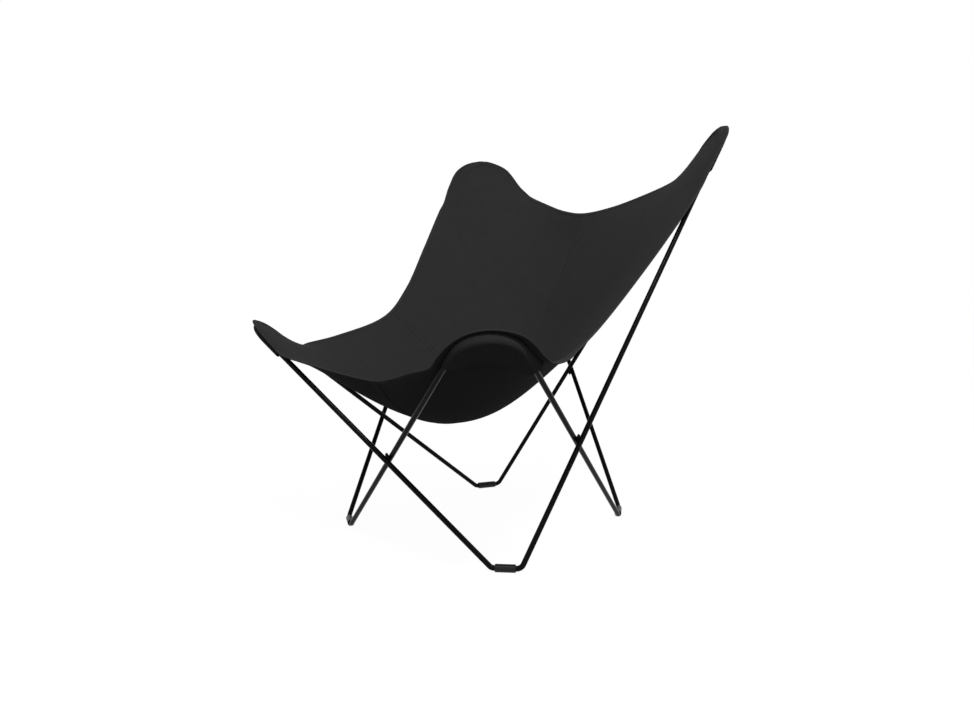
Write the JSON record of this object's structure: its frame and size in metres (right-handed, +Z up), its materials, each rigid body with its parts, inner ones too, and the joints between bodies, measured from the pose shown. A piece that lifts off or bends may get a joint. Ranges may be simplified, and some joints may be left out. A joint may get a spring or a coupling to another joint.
{
  "type": "butterfly sling chair",
  "caption": "Low lounge chair: a frame of bent steel bar, welded where the bars cross, with a hanging canvas sling held by corner pockets.",
  "frame": {"origin": "middle of the floor area that the chair covers, on the floor", "axes": "+Z up, -Y to the front, where the sitter's knees are, and +X to the right of someone who stands in front and faces the chair"},
  "size_m": [0.83, 0.8928, 0.925],
  "materials": {
    "frame_steel": "black powder coat, satin to gloss",
    "foot_sleeve": "black, slightly worn underneath",
    "canvas": "black cotton canvas, two layers, plain weave",
    "canvas_tape": "black cotton tape and binding, stitched"
  },
  "bodies": {
    "root": {"front_left_bar": "frame_steel", "front_right_bar": "frame_steel", "back_left_bar": "frame_steel", "back_right_bar": "frame_steel", "front_right_foot_sleeve": "foot_sleeve", "back_left_foot_sleeve": "foot_sleeve", "front_left_foot_sleeve": "foot_sleeve", "back_right_foot_sleeve": "foot_sleeve", "front_crossing_weld": "frame_steel", "back_crossing_weld": "frame_steel", "left_crossing_weld": "frame_steel", "right_crossing_weld": "frame_steel", "seat_left_panel": "canvas", "seat_right_panel": "canvas", "back_left_panel": "canvas", "back_right_panel": "canvas", "front_left_pocket": "canvas", "front_right_pocket": "canvas", "back_left_pocket": "canvas", "back_right_pocket": "canvas", "front_edge_binding": "canvas_tape", "top_edge_binding": "canvas_tape", "left_edge_binding": "canvas_tape", "right_edge_binding": "canvas_tape", "middle_seam_strap": "canvas_tape", "left_cross_strap": "canvas_tape", "right_cross_strap": "canvas_tape"}
  },
  "joints": []
}
